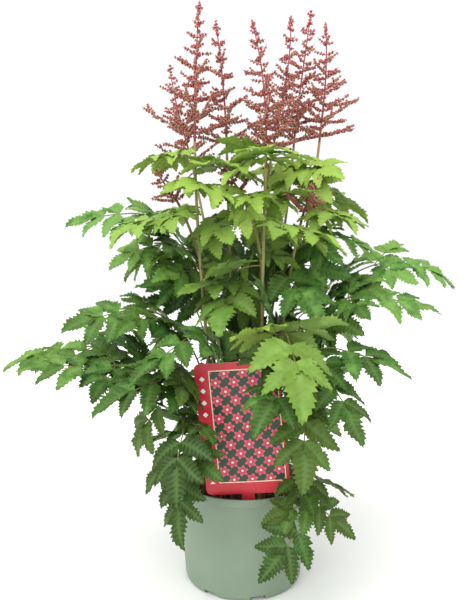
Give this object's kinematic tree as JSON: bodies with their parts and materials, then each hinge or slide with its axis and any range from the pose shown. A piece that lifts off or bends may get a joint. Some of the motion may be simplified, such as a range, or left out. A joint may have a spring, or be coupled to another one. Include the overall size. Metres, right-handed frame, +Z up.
{
  "type": "potted astilbe plant",
  "caption": "Flowering astilbe with feathery divided leaves and rose-red bud plumes, grown in a round nursery pot with a plain picture label on a stake.",
  "frame": {"origin": "middle of the pot's base, on the flat pad that stands on the ground", "axes": "+Z up along the plant, -Y towards the front with the label, +X to the right seen from the front"},
  "size_m": [0.5886, 0.4294, 0.7531],
  "materials": {
    "moulded_pot": "satin sage green moulding",
    "potting_soil": "crumbly dark peat and bark",
    "card_label": "printed card, semi-gloss",
    "green_stem": "ribbed green to reddish stem",
    "flower_bud": "matte rose-red buds",
    "leaf_green": "satin mid-green leaf",
    "leaf_young": "satin yellow-green leaf"
  },
  "bodies": {
    "root": {"label": "card_label", "leaf_back_left": "leaf_green", "leaf_back_low": "leaf_green", "leaf_back_middle": "leaf_green", "leaf_back_right": "leaf_green", "leaf_front_bright": "leaf_young", "leaf_front_cross": "leaf_green", "leaf_front_hanging": "leaf_green", "leaf_front_high": "leaf_green", "leaf_front_left": "leaf_green", "leaf_front_middle": "leaf_green", "leaf_front_right": "leaf_green", "leaf_inner_left": "leaf_green", "leaf_inner_right": "leaf_green", "leaf_left_far": "leaf_green", "leaf_left_front": "leaf_green", "leaf_left_high": "leaf_green", "leaf_left_inner": "leaf_green", "leaf_left_low": "leaf_green", "leaf_left_lowest": "leaf_green", "leaf_left_middle": "leaf_green", "leaf_left_near": "leaf_green", "leaf_left_trailing": "leaf_green", "leaf_left_up": "leaf_green", "leaf_right_far": "leaf_green", "leaf_right_front": "leaf_green", "leaf_right_high": "leaf_green", "leaf_right_low": "leaf_green", "leaf_right_lowest": "leaf_green", "leaf_right_middle": "leaf_green", "leaf_right_up": "leaf_green", "plume_a": "flower_bud", "plume_b": "flower_bud", "plume_c": "flower_bud", "plume_d": "flower_bud", "plume_e": "flower_bud", "plume_f": "flower_bud", "plume_g": "flower_bud", "plume_h": "flower_bud", "plume_i": "flower_bud", "plume_j": "flower_bud", "pot": "moulded_pot", "soil": "potting_soil", "stem_a": "green_stem", "stem_b": "green_stem", "stem_c": "green_stem", "stem_d": "green_stem", "stem_e": "green_stem", "stem_f": "green_stem", "stem_g": "green_stem", "stem_h": "green_stem", "stem_i": "green_stem", "stem_j": "green_stem"}
  },
  "joints": []
}
